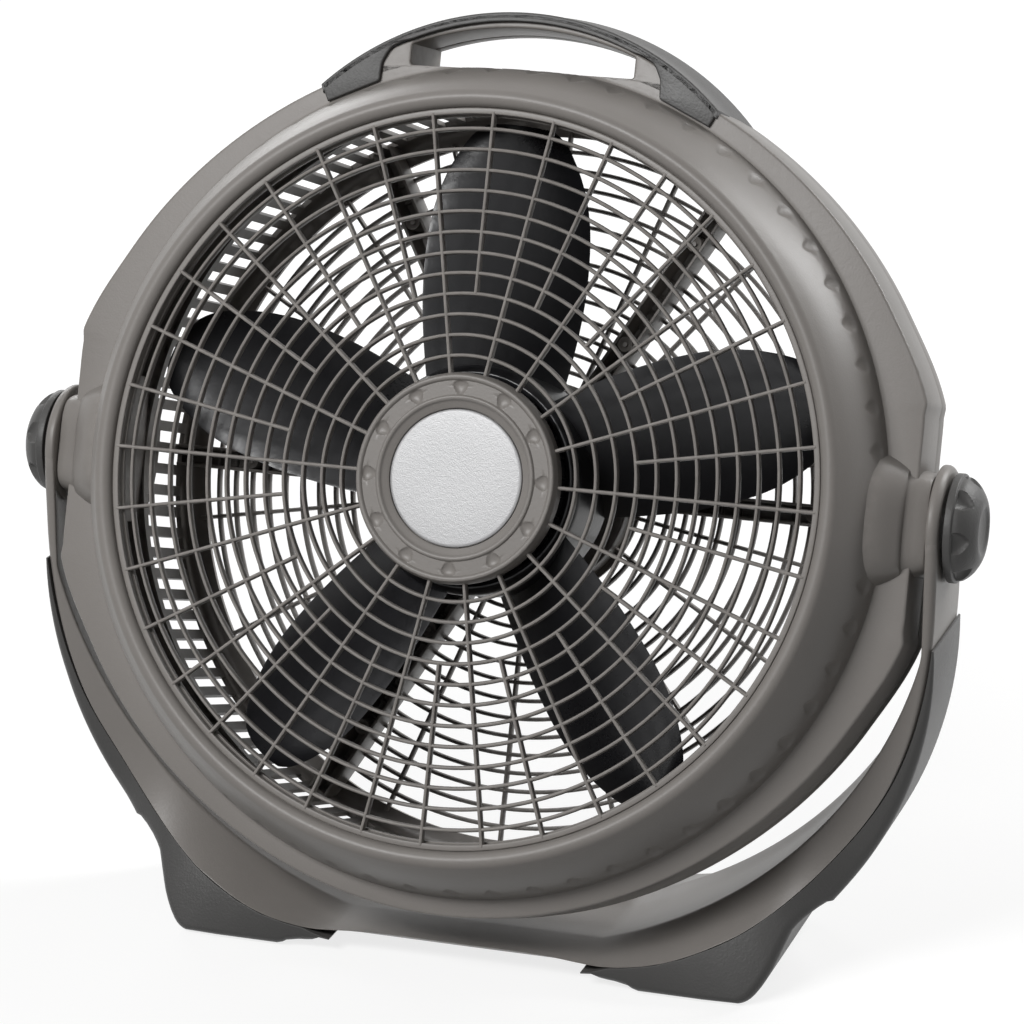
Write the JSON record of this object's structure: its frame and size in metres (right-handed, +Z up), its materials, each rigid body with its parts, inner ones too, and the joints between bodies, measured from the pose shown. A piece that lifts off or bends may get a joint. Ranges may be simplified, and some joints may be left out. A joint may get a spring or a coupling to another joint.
{
  "type": "tilting air circulator fan",
  "caption": "Round air circulator fan with a moulded ring housing, ring-and-spoke grilles and a carrying handle, whose head tilts between the arms of a U-shaped stand.",
  "frame": {"origin": "on the floor, under the middle of the fan's bounding box; the tilt axis is 276 mm above it", "axes": "+Z up, +Y towards the back of the fan, +X to its left-hand side seen from behind, so to the right in a front view; the fan blows towards -Y"},
  "size_m": [0.5788, 0.2914, 0.5423],
  "materials": {
    "taupe_plastic": "satin moulded plastic with a faint grain, warm grey",
    "charcoal_plastic": "matt moulded plastic, fine grain, dark grey",
    "blade_plastic": "semi-gloss moulded plastic, near black",
    "silver_disc": "satin silver, fine brushed",
    "steel": "bright zinc-plated steel",
    "lamination": "stacked electrical steel, dull",
    "copper": "varnished copper wire",
    "bronze": "sintered bronze",
    "cream_plastic": "plain moulded plastic",
    "rubber": "dull black rubber"
  },
  "bodies": {
    "stand": {"stand_body": "taupe_plastic", "left_foot_cladding": "charcoal_plastic", "right_foot_cladding": "charcoal_plastic", "left_front_foot_pad": "rubber", "left_rear_foot_pad": "rubber", "right_front_foot_pad": "rubber", "right_rear_foot_pad": "rubber"},
    "head": {"front_housing": "taupe_plastic", "handle_grip": "charcoal_plastic", "front_grille": "taupe_plastic", "centre_disc": "silver_disc", "rear_housing": "taupe_plastic", "motor_stator": "lamination", "front_winding": "copper", "rear_winding": "copper", "front_end_bell": "steel", "rear_end_bell": "steel", "front_bush": "bronze", "rear_bush": "bronze", "motor_bolt_1": "steel", "motor_bolt_2": "steel", "motor_bolt_3": "steel", "motor_bolt_4": "steel", "capacitor": "cream_plastic", "speed_switch": "cream_plastic", "motor_cover": "taupe_plastic", "cord_gland": "charcoal_plastic"},
    "rotor": {"impeller": "blade_plastic", "impeller_nut": "blade_plastic", "motor_shaft": "steel", "motor_rotor": "lamination"},
    "speed_control": {"speed_knob": "charcoal_plastic"},
    "left_clamp": {"left_tilt_knob": "charcoal_plastic", "left_tilt_stud": "steel", "left_tilt_washer": "steel"},
    "right_clamp": {"right_tilt_knob": "charcoal_plastic", "right_tilt_stud": "steel", "right_tilt_washer": "steel"}
  },
  "joints": [
    {"name": "head_tilt", "type": "hinge", "parent": "stand", "child": "head", "pos_m": [0, -0.00727, 0.27599], "axis": [-1, 0, 0], "range_deg": [-28.5, 71.5]},
    {"name": "blade_spin", "type": "hinge", "parent": "head", "child": "rotor", "pos_m": [0, -0.00727, 0.27599], "axis": [0, 0.9483, -0.3173], "continuous": true},
    {"name": "speed_knob_turn", "type": "hinge", "parent": "head", "child": "speed_control", "pos_m": [0, -0.00727, 0.27599], "axis": [0, -0.9483, 0.3173], "range_deg": [0, 135]},
    {"name": "left_knob_turn", "type": "hinge", "parent": "stand", "child": "left_clamp", "pos_m": [0, -0.00727, 0.27599], "axis": [-1, 0, 0], "range_deg": [0, 180]},
    {"name": "right_knob_turn", "type": "hinge", "parent": "stand", "child": "right_clamp", "pos_m": [0, -0.00727, 0.27599], "axis": [1, 0, 0], "range_deg": [0, 180]}
  ]
}
